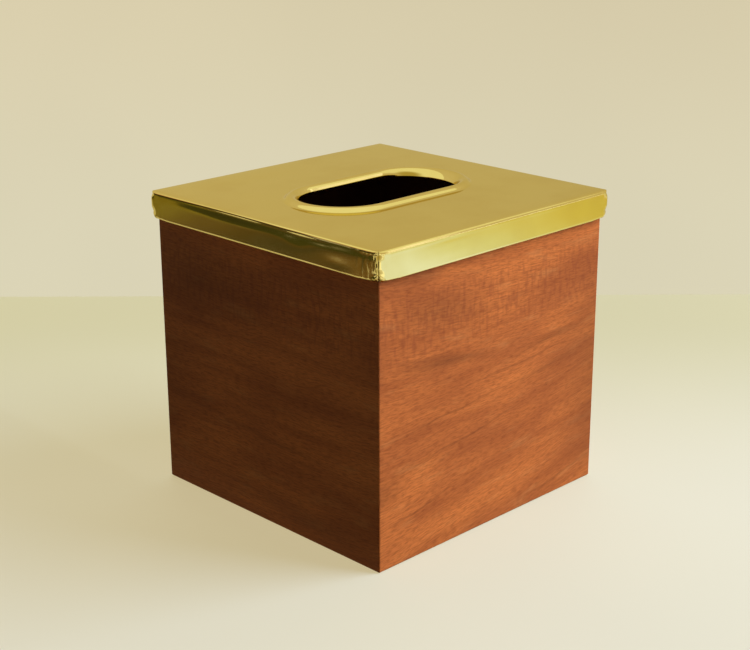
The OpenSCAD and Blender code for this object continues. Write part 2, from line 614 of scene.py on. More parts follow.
@dataclass(frozen=True)
class PaintedBoard:
    """Pale eggshell paint on a shelf or a wall, with a faint roller texture and painted light.

    Part of its paleness is its own glow, shown to the camera and in reflections alone, and the rest
    comes from the lamps and keeps the box's shadow. The glow and the lit colour change from the
    near end to the far end, a painted falloff of light. Its back is see-through, so that a camera
    behind it still sees the object.
    """

    name: str
    near: str  # own glow at the near end, painted light
    far: str  # own glow at the far end; the change is a painted falloff of light
    ends: Pair  # the two ends, measured along the direction, m
    direction: Triple
    lit: str  # colour under the lamps at the near end
    lit_far: str  # and at the far end
    patch: float = 260.0  # size of the faint differences in shade, mm
    roughness: float = 0.6
    shine: float = 0.2

    def build(self) -> Material:
        """Build the material.

        Returns:
            The finished material.
        """
        material, tree, shader = start_material(self.name)
        place = add(tree, "TexCoord").outputs["Object"]
        board = own_place(tree, self.patch * MM)
        cloud = add(tree, "TexNoise", {"Vector": board, "Scale": 1.0, "Detail": 2.0})
        shade = add(tree, "MapRange", cloud, 0.3, 0.7, 0.97, 1.03)
        along = add(tree, "VectorMath DOT_PRODUCT", place, self.direction).outputs["Value"]
        share = add(tree, "MapRange", along, *self.ends, interpolation_type="SMOOTHSTEP")
        own = lay_over(tree, self.near, (share, self.far))
        lit_colour = lay_over(tree, self.lit, (share, self.lit_far))
        feed(shader, {"Base Color": lit_colour, "Roughness": self.roughness})
        feed(shader, {"Specular IOR Level": self.shine})
        strength = add(tree, "Math MULTIPLY", seen_or_reflected(tree), shade)
        glow = add(tree, "Emission", {"Color": own, "Strength": strength})
        painted = add(tree, "AddShader", shader, glow)
        behind = add(tree, "NewGeometry").outputs["Backfacing"]
        clear = add(tree, "BsdfTransparent")
        sided = add(tree, "MixShader", behind, painted, clear)
        feed(tree.nodes["Material Output"], {"Surface": sided})
        return material


# Geometry Nodes


@dataclass(frozen=True)
class TreeInput:
    """A named input of a Geometry Nodes tree, and the value that a modifier gives it."""

    name: str
    value: object
    kind: str = "NodeSocketFloat"


class SweptPiece:
    """A piece that a Geometry Nodes tree sweeps from drawn sections along a drawn path."""

    def __init__(self, name: str, path: Object, inputs: list[TreeInput]) -> None:
        """Start the tree.

        Args:
            name: the name of the tree, and of the finished piece.
            path: the curve that the sections follow; it carries the modifier.
            inputs: the tree's named inputs, with their values.
        """
        self.name = name
        self.path = path
        self.inputs = inputs
        self.tree = bpy.data.node_groups.new(name, "GeometryNodeTree")
        sockets = self.tree.interface
        sockets.new_socket("Geometry", in_out="INPUT", socket_type="NodeSocketGeometry")
        sockets.new_socket("Geometry", in_out="OUTPUT", socket_type="NodeSocketGeometry")
        self.sockets = {
            entry.name: sockets.new_socket(entry.name, in_out="INPUT", socket_type=entry.kind)
            for entry in inputs
        }
        self.given = add(self.tree, "NodeGroupInput").outputs
        self.position = add(self.tree, "GeometryNodeInputPosition")
        self.marked_path = self._marked(self.given["Geometry"], "path_at")
        self.path_at, section_at = (
            add(self.tree, "GeometryNodeInputNamedAttribute", {"Name": name}, data_type="FLOAT_VECTOR")
            for name in ("path_at", "section_at")
        )
        self.out_by, self.up_by, _ = add(self.tree, "SeparateXYZ", section_at).outputs
        self.up = add(self.tree, "CombineXYZ", {2: self.up_by})

    def _marked(self, drawn: Socket, name: str) -> Node:
        """Keep each point's place in a named attribute, for the formula that moves it."""
        inputs = {"Geometry": drawn, "Name": name, "Value": self.position}
        return add(self.tree, "GeometryNodeStoreNamedAttribute", inputs, data_type="FLOAT_VECTOR")

    def sweep(self, section: str, place: Node, caps: bool = False) -> Node:
        """Sweep a section along the path, and put every point where a formula says.

        Args:
            section: the name of the input that holds the section's curve.
            place: the node that gives each point's place from path_at and section_at.
            caps: whether the two ends are closed.

        Returns:
            The node with the placed mesh.
        """
        drawn = add(self.tree, "GeometryNodeObjectInfo", {"Object": self.given[section]})
        marked = self._marked(drawn.outputs["Geometry"], "section_at")
        inputs = {"Curve": self.marked_path, "Profile Curve": marked, "Fill Caps": caps}
        skin = add(self.tree, "GeometryNodeCurveToMesh", inputs)
        return add(self.tree, "GeometryNodeSetPosition", {"Geometry": skin, "Position": place})

    def clamp(self, place: Node, limit: Node) -> Node:
        """Hold a place within a box round the origin.

        Args:
            place: the node with the place.
            limit: the node with the box's highest corner.

        Returns:
            The node with the nearest place in the box.
        """
        low = add(self.tree, "VectorMath SCALE", {0: limit, "Scale": -1.0})
        held = add(self.tree, "VectorMath MINIMUM", place, limit)
        return add(self.tree, "VectorMath MAXIMUM", held, low)

    def around(self, limit: Node) -> tuple[Node, Node, Node]:
        """Stand each section square on the nearest point of a box round the origin.

        Args:
            limit: the node with the box's highest corner.

        Returns:
            The nodes with the nearest point, the heading away from it, and each point's place.
        """
        tree = self.tree
        axis = self.clamp(self.path_at, limit)
        away = add(tree, "VectorMath SUBTRACT", self.path_at, axis)
        out = add(tree, "VectorMath NORMALIZE", away)
        reach = add(tree, "VectorMath SCALE", {0: out, "Scale": self.out_by})
        level = add(tree, "VectorMath ADD", axis, reach)
        return axis, out, add(tree, "VectorMath ADD", level, self.up)

    def finish(self, mesh: Node, material: Material, thickness: float = 0.0) -> Object:
        """End the tree, run it once and keep its result as a plain mesh.

        Args:
            mesh: the node with the whole mesh.
            material: the finish that the tree sets.
            thickness: the sheet's thickness in mm, added on the inside, or 0 for a closed mesh.

        Returns:
            The finished piece, with no modifier left on it.
        """
        smooth = add(self.tree, "GeometryNodeSetShadeSmooth", {"Geometry": mesh})
        real = add(self.tree, "GeometryNodeRealizeInstances", {"Geometry": smooth})
        dressed = add(self.tree, "GeometryNodeSetMaterial", {"Geometry": real, "Material": material})
        add(self.tree, "NodeGroupOutput", {"Geometry": dressed})
        modifier = self.path.modifiers.new(self.name, "NODES")
        modifier.node_group = self.tree
        for entry in self.inputs:
            modifier[self.sockets[entry.name].identifier] = entry.value
        data = evaluated_mesh(self.path)
        data.name = self.name
        piece = put(self.name, data)
        drawn = [entry.value for entry in self.inputs if isinstance(entry.value, Object)]
        for helper in (self.path, *drawn):
            bpy.data.objects.remove(helper)
        bpy.data.node_groups.remove(self.tree)
        if thickness:
            self._thicken(piece, thickness)
        for name in ("path_at", "section_at"):
            kept = piece.data.attributes.get(name)
            if kept:
                piece.data.attributes.remove(kept)
        return piece

    def _thicken(self, piece: Object, thickness: float) -> None:
        """Give a sheet its thickness on the inside, and keep the result as a plain mesh.

        Args:
            piece: the sheet, as a single skin.
            thickness: its thickness in mm.
        """
        solid = piece.modifiers.new("Sheet", "SOLIDIFY")
        solid.thickness = thickness * MM
        solid.offset = -1
        solid.use_even_offset = True
        thick = evaluated_mesh(piece)
        piece.modifiers.remove(solid)
        thin = piece.data
        piece.data = thick
        bpy.data.meshes.remove(thin)


def dress(piece: Object, body: Body, node: str) -> None:
    """Tell the frame what a finished piece rides on, and hide the CAD node that it stands for.

    Args:
        piece: the finished piece.
        body: the body that it moves with.
        node: the CAD node that it replaces.
    """
    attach(piece, body.value)
    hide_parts(node)


# The wooden box


@dataclass
class MitredWall:
    """One wall of the box: mitred ends, sanded edges and the groove for the base panel."""

    side: Side
    finish: Sapele
    body_width: float = 140.0
    height: float = 137.5
    thickness: float = 9.0
    corner_radius: float = 0.8
    foot_bevel: float = 0.6
    groove_lift: float = 4.0
    groove_height: float = 4.2
    groove_depth: float = 4.0
    eased: float = 0.35  # radius left by sandpaper on the edges that are not bevelled
    beside: float = 0.35  # strip beside an edge that keeps the flat face's shading flat
    spans: int = 12  # parts that each half of the wall is swept in, up to the corner

    def section(self) -> list[Point]:
        """The wall's outline seen from its end.

        Returns:
            Its points, as depth from the box's middle and height, in mm.
        """
        out = self.body_width / 2
        inner = out - self.thickness
        back = inner + self.groove_depth
        ease = self.eased
        near = self.beside
        shelf_top = self.groove_lift + self.groove_height
        return [
            (out, self.foot_bevel),
            (out, self.foot_bevel + near),
            (out, self.height - ease - near),
            *arc((out - ease, self.height - ease), ease, 0, 90, 4),
            (out - ease - near, self.height),
            (inner + ease + near, self.height),
            *arc((inner + ease, self.height - ease), ease, 90, 180, 4),
            (inner, self.height - ease - near),
            (inner, shelf_top + near),
            (inner, shelf_top),
            (back, shelf_top),
            (back, self.groove_lift),
            (inner, self.groove_lift),
            (inner, self.groove_lift - near),
            (inner, ease + near),
            *arc((inner + ease, ease), ease, 180, 270, 3),
            (inner + ease + near, 0),
            (out - self.foot_bevel - near, 0),
            (out - self.foot_bevel, 0),
        ]

    def columns(self) -> list[Point]:
        """Places along the outer face where the section stands, closer together at the corners.

        Returns:
            The places in order, in mm.
        """
        start = self.body_width / 2 - self.corner_radius
        turn = [start + self.corner_radius * math.tan(math.radians(a)) for a in range(0, 46, 9)]
        half = [*np.linspace(0, start - self.beside, self.spans + 1), *turn]
        return [(float(x), 0.0) for x in [*(-v for v in reversed(half[1:])), *half]]

    def build(self) -> Object:
        """Sweep the wall, mitre it and round its upright edges.

        Returns:
            The finished wall.
        """
        section = draw_curve("wall_section", self.section(), closed=True)
        piece = SweptPiece(
            f"{self.side.name.lower()}_wall",
            draw_curve("wall_path", self.columns()),
            [
                TreeInput("Section", section, "NodeSocketObject"),
                TreeInput("Half Width", self.body_width / 2 * MM),
                TreeInput("Corner Radius", self.corner_radius * MM),
                TreeInput("Turn", math.radians(self.side.value)),
            ],
        )
        tree = piece.tree
        half = piece.given["Half Width"]
        radius = piece.given["Corner Radius"]
        along = add(tree, "SeparateXYZ", piece.path_at).outputs[0]
        share = add(tree, "Math DIVIDE", along, half)
        x = add(tree, "Math MULTIPLY", share, piece.out_by)
        y = add(tree, "Math MULTIPLY", piece.out_by, -1.0)
        flat = add(tree, "CombineXYZ", x, y)
        straight = add(tree, "Math SUBTRACT", half, radius)
        core = piece.clamp(flat, add(tree, "CombineXYZ", straight, straight))
        off = add(tree, "VectorMath SUBTRACT", flat, core)
        length = add(tree, "VectorMath LENGTH", off).outputs["Value"]
        least = add(tree, "Math MAXIMUM", length, 1e-9)
        shrink = add(tree, "Math DIVIDE", radius, least)
        most = add(tree, "Math MINIMUM", shrink, 1.0)
        drawn_in = add(tree, "VectorMath SCALE", {0: off, "Scale": most})
        rounded = add(tree, "VectorMath ADD", core, drawn_in)
        place = add(tree, "VectorMath ADD", rounded, piece.up)
        swept = piece.sweep("Section", place, caps=True)
        welded = add(tree, "GeometryNodeMergeByDistance", {"Geometry": swept, "Distance": 1e-7})
        turn = add(tree, "CombineXYZ", {2: piece.given["Turn"]})
        turned = add(tree, "GeometryNodeTransform", {"Geometry": welded, "Rotation": turn})
        return piece.finish(turned, self.finish.build())


BOARDS = (
    Sapele(
        "Sapele_front_oiled",
        Side.FRONT,
        cut=(55.0, 10.0, 130.0),
        lean_foot=0.17,
        lean_top=-0.09,
        bow=0.0004,
        streaks=(
            Streak(82.5, 3.6, -30.0, 38.0, 0.52, -0.10),
            Streak(87.0, 1.8, -44.0, 24.0, 0.30, -0.10),
            Streak(77.0, 3.4, 38.0, 38.0, 0.30, 0.07),
            Streak(64.0, 2.4, 34.0, 36.0, 0.28, 0.08),
            Streak(106.0, 12.0, -34.0, 42.0, 0.30, -0.16),
            Streak(122.0, 5.0, -50.0, 32.0, 0.25, -0.03),
            Streak(34.0, 9.0, -70.0, 22.0, 0.34, 0.16),
            Streak(59.0, 0.8, -32.0, 46.0, 0.40, 0.09),
            Streak(46.0, 0.9, -20.0, 60.0, 0.42, 0.14),
            Streak(22.0, 0.8, -46.0, 34.0, 0.34, 0.20),
            Streak(70.0, 0.9, 12.0, 62.0, 0.34, 0.06),
            Streak(8.0, 1.0, 42.0, 34.0, 0.34, 0.15),
            # partly the wood's own tone and partly painted shade: the board darkens towards its far
            # end, where less light falls
            Streak(50.0, 70.0, 84.0, 56.0, 0.50),
        ),
    ),
    Sapele(
        "Sapele_right_oiled",
        Side.RIGHT,
        cut=(310.0, 20.0, 240.0),
        lean_foot=0.05,
        lean_top=-0.06,
        bow=-0.0003,
        streaks=(
            Streak(95.0, 3.0, 20.0, 60.0, 0.40, 0.05),
            Streak(52.0, 1.2, -10.0, 90.0, 0.30, -0.04),
            Streak(28.0, 1.6, 10.0, 80.0, 0.30, 0.06),
        ),
    ),
    Sapele(
        "Sapele_back_oiled",
        Side.BACK,
        cut=(-420.0, 60.0, 510.0),
        lean_foot=-0.08,
        lean_top=0.04,
        bow=0.0003,
        streaks=(
            Streak(104.0, 1.6, -20.0, 80.0, 0.30, -0.05),
            Streak(70.0, 3.5, 25.0, 60.0, 0.40, 0.08),
            Streak(36.0, 1.2, 0.0, 90.0, 0.30, 0.03),
        ),
    ),
    Sapele(
        "Sapele_left_oiled",
        Side.LEFT,
        cut=(-440.0, 10.0, -660.0),
        lean_foot=0.06,
        lean_top=-0.03,
        bow=0.0002,
        streaks=(
            Streak(108.0, 28.0, -48.0, 60.0, 0.42, -0.10),
            Streak(60.0, 60.0, -80.0, 56.0, 0.30),
            Streak(40.0, 2.0, 0.0, 70.0, 0.26, -0.06),
            Streak(10.0, 8.0, 30.0, 60.0, 0.26, -0.06),
        ),
    ),
)


@dataclass
class WoodenBox:
    """The box: four mitred walls round a plywood base panel."""

    plywood: BirchPlywood = BirchPlywood()

    def build(self) -> list[Object]:
        """Build and dress the walls, and dress the base panel.

        Returns:
            The pieces in order.
        """
        pieces = []
        for finish in BOARDS:
            wall = MitredWall(finish.side, finish).build()
            dress(wall, Body.BOX, f"wall_{finish.side.name.lower()}")
            pieces.append(wall)
        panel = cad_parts["base_panel"]
        panel.data.materials.clear()
        panel.data.materials.append(self.plywood.build())
        return [*pieces, panel]


# The brass lid


@dataclass(frozen=True)
class Dent:
    """One shallow dent in a flap that shows in what the brass reflects."""

    side: Side
    along: float  # place along the side, along +X or +Y, mm
    level: float  # height from the top of the lid, mm
    length: float  # how far it reaches along the flap, mm
    height: float  # how far it reaches up and down, mm
    slant: float  # rise for each mm along
    depth: float

    def depth_at(self, along: float, level: float) -> float:
        """How deep the dent is at a place on its flap.

        Args:
            along: the place along the side, mm.
            level: its height from the top of the lid, mm.

        Returns:
            The depth in mm.
        """
        run = (along - self.along) / self.length
        rise = (level - self.level - self.slant * (along - self.along)) / self.height
        return self.depth * math.exp(-run * run - rise * rise)


DENTS = (
    Dent(Side.LEFT, 14.0, -0.3, 30.0, 2.2, 0.004, 0.75),
    Dent(Side.LEFT, -26.0, -2.4, 9.0, 3.6, 0.0, 0.22),
    Dent(Side.LEFT, -50.0, -0.3, 18.0, 2.0, 0.0, 0.30),
    Dent(Side.LEFT, -36.0, -2.4, 8.0, 0.9, 0.08, 0.07),
    Dent(Side.LEFT, -49.0, -9.0, 7.0, 2.4, 0.0, 0.10),
    Dent(Side.FRONT, -30.0, -2.2, 10.0, 0.8, 0.04, 0.05),
    Dent(Side.BACK, 20.0, -2.0, 30.0, 2.4, 0.0, 0.18),
    Dent(Side.RIGHT, -18.0, -1.8, 28.0, 2.6, 0.0, 0.16),
)


def hump(distance: float, width: float) -> float:
    """How much is left of a smooth hump at a distance from its middle, where it is 1."""
    return math.exp(-((distance / width) ** 2))


@dataclass
class BrassLid:
    """The lid: one sheet of brass with a folded and hemmed rim and a beaded slot."""

    finish: PolishedBrass
    body_width: float = 140.0
    wall_height: float = 137.5
    sheet: float = 0.9
    rim_height: float = 12.5
    clearance: float = 0.5
    hem_height: float = 5.0
    hem_gap: float = 0.2
    hem_turn: float = 0.3  # radius at the foot of the hem, which is pressed flat
    inner_fold: float = 0.6
    corner_ease: float = 0.4
    flap_radius: float = 3.8
    slot_length: float = 84.5
    slot_width: float = 40.5
    bead_radius: float = 2.8
    bead_height: float = 1.9
    lip_drop: float = 1.1
    land: float = 1.8  # flat strip beside the bead
    column: float = 2.5  # distance between sections along the middle of a side
    end_column: float = 0.5  # distance between them along the hammered ends
    worked_end: float = 10.0  # how far the hammer worked in from each flap's end

    def __post_init__(self) -> None:
        """Work out the sizes that follow from the others."""
        self.half = self.body_width / 2 + self.clearance + 2 * self.sheet + self.hem_gap
        self.top = self.wall_height + self.sheet
        self.fold = self.inner_fold + self.sheet
        self.corner = self.fold + self.corner_ease
        self.plate = self.half - self.corner
        self.hem_radius = self.sheet + self.hem_gap / 2
        self.hem_start = self.rim_height - self.hem_radius
        self.slot_half = (self.slot_length - self.slot_width) / 2
        self.sink = self.bead_radius - self.bead_height
        self.hollow = (3 * self.bead_radius - 5 * self.sink) / 2
        crest = self.slot_width / 2 + self.bead_radius
        self.bead_foot = crest + 0.8 * (self.bead_radius + self.hollow)

    def path(self) -> list[Point]:
        """The line where the fold starts, once round the lid, with a point at each section.

        Returns:
            Its points in order, in mm.
        """
        flap = self.half - self.flap_radius
        edge = self.plate + self.corner_ease
        middle = flap - self.worked_end
        end_steps = round(self.worked_end / self.end_column)
        side = chain(
            line((-self.plate, -edge), (-flap, -edge), 4),
            line((-flap, -edge), (-middle, -edge), end_steps),
            line((-middle, -edge), (middle, -edge), round(2 * middle / self.column)),
            line((middle, -edge), (flap, -edge), end_steps),
            line((flap, -edge), (self.plate, -edge), 4),
            arc((self.plate, -self.plate), self.corner_ease, -90, 0, 24),
        )[:-1]
        turns = [(1, 0), (0, 1), (-1, 0), (0, -1)]
        return [(c * x - s * y, s * x + c * y) for c, s in turns for x, y in side]

    def sections(self) -> dict[str, list[Point]]:
        """The sheet's sections, each by the name of its input.

        Returns:
            The fold with the flap below it, and the hem, which is a flattened turn with the
            return leaf inside it, as distance out from the plate's corner and height; the
            slot's lip, bead and hollow, as distance out from the slot's middle and height; and
            the plate, as the share of the way out.
        """
        inner = self.corner - 2 * self.hem_radius
        turn = self.hem_turn
        foot = turn - self.rim_height
        edge = self.slot_width / 2
        meet = math.degrees(math.atan2(3, 4))
        return {
            "Leaf Section": chain(
                arc((self.corner_ease, -self.fold), self.fold, 90, 0, 8),
                line((self.corner, -self.fold), (self.corner, -self.hem_start), 12),
                line((self.corner, -self.hem_start), (self.corner, -self.rim_height), 3),
            ),
            "Hem Section": chain(
                line((self.corner, -self.hem_start), (self.corner, foot), 1),
                arc((self.corner - turn, foot), turn, 0, -90, 5),
                line((self.corner - turn, -self.rim_height), (inner + turn, -self.rim_height), 1),
                arc((inner + turn, foot), turn, -90, -180, 5),
                line((inner, foot), (inner, self.hem_height - self.rim_height), 2),
            ),
            "Bead Section": chain(
                line((edge, -self.sink - self.lip_drop), (edge, -self.sink), 2),
                arc((edge + self.bead_radius, -self.sink), self.bead_radius, 180, meet, 16),
                arc((self.bead_foot, self.hollow), self.hollow, 180 + meet, 270, 6),
                line((self.bead_foot, 0), (self.bead_foot + 0.3, 0), 1),
                line((self.bead_foot + 0.3, 0), (self.bead_foot + self.land, 0), 1),
            ),
            "Plate Section": line((0, 0), (1 / MM, 0), 12),
        }

    def build(self) -> Object:
        """Sweep the sheet, thicken it, finish it by hand and dress it.

        Returns:
            The finished lid.
        """
        sizes = {
            "Corner Centre": self.plate,
            "Slot Half Straight": self.slot_half,
            "Bead Reach": self.bead_foot + self.land,
            "Flap End": self.half - self.flap_radius,
            "Flap Radius": self.flap_radius,
            "Rim Height": self.rim_height,
            "Hem Start": self.hem_start,
            "Fold Radius": self.fold,
            "Lid Top": self.top,
        }
        drawn = [
            TreeInput(name, draw_curve(name, points), "NodeSocketObject")
            for name, points in self.sections().items()
        ]
        piece = SweptPiece(
            "brass_lid",
            draw_curve("rim_path", self.path(), closed=True),
            [*drawn, *(TreeInput(name, size * MM) for name, size in sizes.items())],
        )
        joined = add(piece.tree, "GeometryNodeJoinGeometry")
        for mesh in (*self._rim(piece), *self._top(piece)):
            feed(joined, {0: mesh})
        welded = add(piece.tree, "GeometryNodeMergeByDistance", {"Geometry": joined, "Distance": 1e-6})
        lift = add(piece.tree, "CombineXYZ", {2: piece.given["Lid Top"]})
        placed = add(piece.tree, "GeometryNodeTransform", {"Geometry": welded, "Translation": lift})
        lid = piece.finish(placed, self.finish.build(), self.sheet)
        HandWork(self).work(lid.data)
        dress(lid, Body.LID, "lid")
        return lid

    def _rim(self, piece: SweptPiece) -> list[Node]:
        """Sweep the folded flaps and their hems, and leave the corners notched.

        Args:
            piece: the lid's tree.

        Returns:
            The nodes with the two meshes.
        """
        tree = piece.tree
        given = piece.given
        flap_end, rim = given["Flap End"], given["Rim Height"]
        radius, fold = given["Flap Radius"], given["Fold Radius"]
        centre = add(tree, "CombineXYZ", given["Corner Centre"], given["Corner Centre"])
        _, _, place = piece.around(centre)
        spot = add(tree, "SeparateXYZ", piece.position).outputs
        x, y = (add(tree, "Math ABSOLUTE", spot[i]) for i in (0, 1))
        nearer = add(tree, "Math MINIMUM", x, y)
        in_corner = add(tree, "FunctionNodeCompare GREATER_THAN", nearer, flap_end)
        on_side = add(tree, "FunctionNodeCompare LESS_THAN", nearer, flap_end)
        hem_level = add(tree, "Math MULTIPLY", given["Hem Start"], -1.0)
        below = add(tree, "FunctionNodeCompare LESS_THAN", spot[2], hem_level)
        under = add(tree, "FunctionNodeBooleanMath AND", on_side, below)
        leaf, hem = (
            add(
                tree,
                "GeometryNodeDeleteGeometry",
                {"Geometry": piece.sweep(section, place), "Selection": unwanted},
                domain="FACE",
            )
            for section, unwanted in (("Leaf Section", under), ("Hem Section", in_corner))
        )
        past = add(tree, "Math SUBTRACT", nearer, flap_end)
        beyond = add(tree, "Math MAXIMUM", past, 0.0)
        squared = add(tree, "Math MULTIPLY", beyond, beyond)
        radius_squared = add(tree, "Math MULTIPLY", radius, radius)
        left = add(tree, "Math SUBTRACT", radius_squared, squared)
        drop = add(tree, "Math SQRT", left)
        up_from = add(tree, "Math SUBTRACT", radius, rim)
        foot = add(tree, "Math SUBTRACT", up_from, drop)
        full = add(tree, "Math SUBTRACT", rim, fold)
        below_fold = add(tree, "Math ADD", spot[2], fold)
        hanging = add(tree, "Math MINIMUM", below_fold, 0.0)
        part = add(tree, "Math DIVIDE", hanging, full)
        raised = add(tree, "Math ADD", foot, rim)
        lift = add(tree, "Math MULTIPLY", part, raised)
        up = add(tree, "Math MULTIPLY", lift, -1.0)
        offset = add(tree, "CombineXYZ", {2: up})
        notched = add(tree, "GeometryNodeSetPosition", {"Geometry": leaf, "Offset": offset})
        return [notched, hem]

    def _top(self, piece: SweptPiece) -> list[Node]:
        """Sweep the bead round the slot, and the flat plate between the bead and the fold.

        Args:
            piece: the lid's tree.

        Returns:
            The nodes with the two meshes.
        """
        tree = piece.tree
        end = add(tree, "CombineXYZ", piece.given["Slot Half Straight"])
        axis, out, place = piece.around(end)
        bead = piece.sweep("Bead Section", place)
        reach = add(tree, "VectorMath SCALE", {0: out, "Scale": piece.given["Bead Reach"]})
        inner = add(tree, "VectorMath ADD", axis, reach)
        inputs = {0: piece.out_by, 4: inner, 5: piece.path_at}
        between = add(tree, "Mix", inputs, data_type="VECTOR")
        return [bead, piece.sweep("Plate Section", between.outputs[1])]


def share_of(distance: float, length: float) -> float:
    """How much of a length a distance covers, from 0 to 1."""
    return min(1.0, max(0.0, distance / length))


@dataclass(frozen=True)
class HandWork:
    """What bending, hammering, filing and soldering by hand leave on the lid's sheet.

    All lengths are mm. Nothing moves outwards, so that the lid keeps its size.
    """

    lid: BrassLid
    top_hollow: float = 0.055  # how far the top sinks away from the walls
    top_wave: float = 0.10  # how uneven it is
    top_pitch: float = 46.0  # size of its waves
    top_edge: Pair = (6.0, 14.0)  # strip beside the fold that stays flat, and one that fades
    flap_wave: float = 0.09  # how uneven the flaps are
    flap_pitch: Pair = (26.0, 9.0)  # size of their waves, along and up
    flap_edge: Pair = (3.0, 12.0)  # strip at a flap's end that stays even, and one that fades
    hammered: float = 0.45  # depth of the marks at the front left, where the hammer did most
    spared: float = 0.15  # share of that depth at the other corners
    mark_pitch: Pair = (1.3, 7.0)  # size of the marks, along and up
    corner_reach: float = 9.0  # how far the work on a corner reaches along each flap
    corner_wave: float = 0.04  # how uneven a corner is
    corner_share: float = 0.7  # share of the marks' depth that reaches round the corner
    corner_pitch: Pair = (0.8, 3.5)  # size of the marks there, along and up
    corner_skin: float = 0.45  # how deep into the sheet the seam and the file reach
    seam_width: float = 0.4
    seam_depth: float = 0.18  # what solder leaves of the seam's groove
    filed: float = 2.4  # how far each flap's end is filed round, along the seam and up from it
    foot_rise: Pair = (0.85, 0.2)  # lift of the foot at the seam and beyond it, as shares of filed
    foot_reach: Pair = (0.95, 3.6)  # how far those two reach, as shares of filed
    file_depth: float = 0.35  # how far the file went in, as a share of filed
    file_reach: float = 0.8  # how far along the flap, as a share of filed
    shoulder: Pair = (1 / 3, 0.6)  # its upper mark: place below the top and size, as shares of filed
    heel: Pair = (0.7, 0.7)  # its lower mark: place above the foot and size, as shares of filed
    lip_slope: float = 0.75  # how far the lip leans in at the slot's ends, for each mm down
    lip_reach: float = 1.5  # how far past the bead's crest the lean takes hold

    def work(self, data: bpy.types.Mesh) -> None:
        """Move the sheet's points as the hand work does.

        Args:
            data: the lid's mesh.
        """
        spots = np.zeros(len(data.vertices) * 3)
        data.vertices.foreach_get("co", spots)
        spots = spots.reshape(-1, 3) / MM
        moved = spots.copy()
        for index, (x, y, z) in enumerate(spots):
            for mark in (self._plate_wave, self._flap_marks, self._corner_marks, self._lip_lean):
                moved[index] += mark(x, y, z)
        data.vertices.foreach_set("co", (moved * MM).ravel())
        data.update()

    def _plate_wave(self, x: float, y: float, z: float) -> np.ndarray:
        """Slight hollows in the top, which fade out where the lid rests on the walls.

        Args:
            x, y, z: a point of the sheet.

        Returns:
            How the point moves.
        """
        lid = self.lid
        if z < lid.top - lid.sink - lid.lip_drop - 1:
            return np.zeros(3)
        flat, fading = self.top_edge
        inward = share_of(lid.plate - flat - max(abs(x), abs(y)), fading)
        wave = noise.noise(Vector((x / self.top_pitch, y / self.top_pitch, 3.7)))
        height = self.top_wave * wave - self.top_hollow
        return np.array([0.0, 0.0, inward * inward * (3 - 2 * inward) * height])

    def _flap_marks(self, x: float, y: float, z: float) -> np.ndarray:
        """Slight waves, hammer marks and dents in the flaps.

        Args:
            x, y, z: a point of the sheet.

        Returns:
            How the point moves.
        """
        lid = self.lid
        on_x = abs(x) > abs(y)
        along, across = (y, x) if on_x else (x, y)
        if abs(across) < lid.plate:
            return np.zeros(3)
        high, low = (Side.RIGHT, Side.LEFT) if on_x else (Side.BACK, Side.FRONT)
        side = high if across > 0 else low
        seed = 11.3 + side.value / 7.1
        level = z - lid.top
        even, fading = self.flap_edge
        length, height = self.flap_pitch
        wave = noise.noise(Vector((along / length, seed, level / height)))
        depth = self.flap_wave * (0.5 + 0.5 * wave) * share_of(lid.half - even - abs(along), fading)
        end = lid.half - lid.flap_radius - lid.worked_end - abs(along)
        if end < 0:
            length, height = self.mark_pitch
            crumple = noise.noise(Vector((along / length, seed + 3, level / height)))
            worked = share_of(-end, lid.worked_end)
            depth += self._hammering(x, y) * worked * (0.5 + 0.5 * crumple)
        depth += sum(dent.depth_at(along, level) for dent in DENTS if dent.side is side)
        inward = -math.copysign(depth * share_of(lid.top - 0.3 * lid.fold - z, lid.fold), across)
        return np.array([inward, 0.0, 0.0] if on_x else [0.0, inward, 0.0])

    def _corner_marks(self, x: float, y: float, z: float) -> np.ndarray:
        """The soldered seam up each corner, and what the hammer and the file left there.

        Args:
            x, y, z: a point of the sheet.

        Returns:
            How the point moves.
        """
        lid = self.lid
        ax, ay = abs(x) - lid.plate, abs(y) - lid.plate
        nearer = min(ax, ay)
        reach = math.hypot(max(ax, 0), max(ay, 0))
        if nearer < -self.corner_reach or z > lid.top - 0.4 or reach < 0.5:
            return np.zeros(3)
        out = np.array([math.copysign(max(ax, 0), x), math.copysign(max(ay, 0), y), 0.0]) / reach
        lifted = 0.0
        near = share_of(nearer + self.corner_reach, self.corner_reach)
        low = share_of(lid.top - z, lid.fold)
        length, height = self.corner_pitch
        bumpy = 0.5 + 0.5 * noise.noise(Vector((x / length, y / length, z / height)))
        depth = self.corner_wave + self.corner_share * self._hammering(x, y)
        moved = depth * near * near * low * bumpy
        if reach > lid.corner - self.corner_skin:
            off_seam = math.pi / 4 * lid.corner - nearer
            if nearer > 0:
                off_seam = abs(math.atan2(ay, ax) - math.pi / 4) * lid.corner
            moved += self.seam_depth * max(0.0, 1 - off_seam / self.seam_width) * low
            for rise, width in zip(self.foot_rise, self.foot_reach):
                lifted += rise * self.filed * hump(off_seam, width * self.filed)
            lifted *= ((lid.top - z) / lid.rim_height) ** 2
            place, size = (part * self.filed for part in self.shoulder)
            shoulder = hump(lid.top - place - z, size)
            place, size = (part * self.filed for part in self.heel)
            heel = hump(z - (lid.top - lid.rim_height + place), size)
            filed = hump(off_seam, self.file_reach * self.filed)
            moved += self.file_depth * self.filed * filed * (shoulder * low + heel)
        return out * -moved + np.array([0.0, 0.0, lifted])

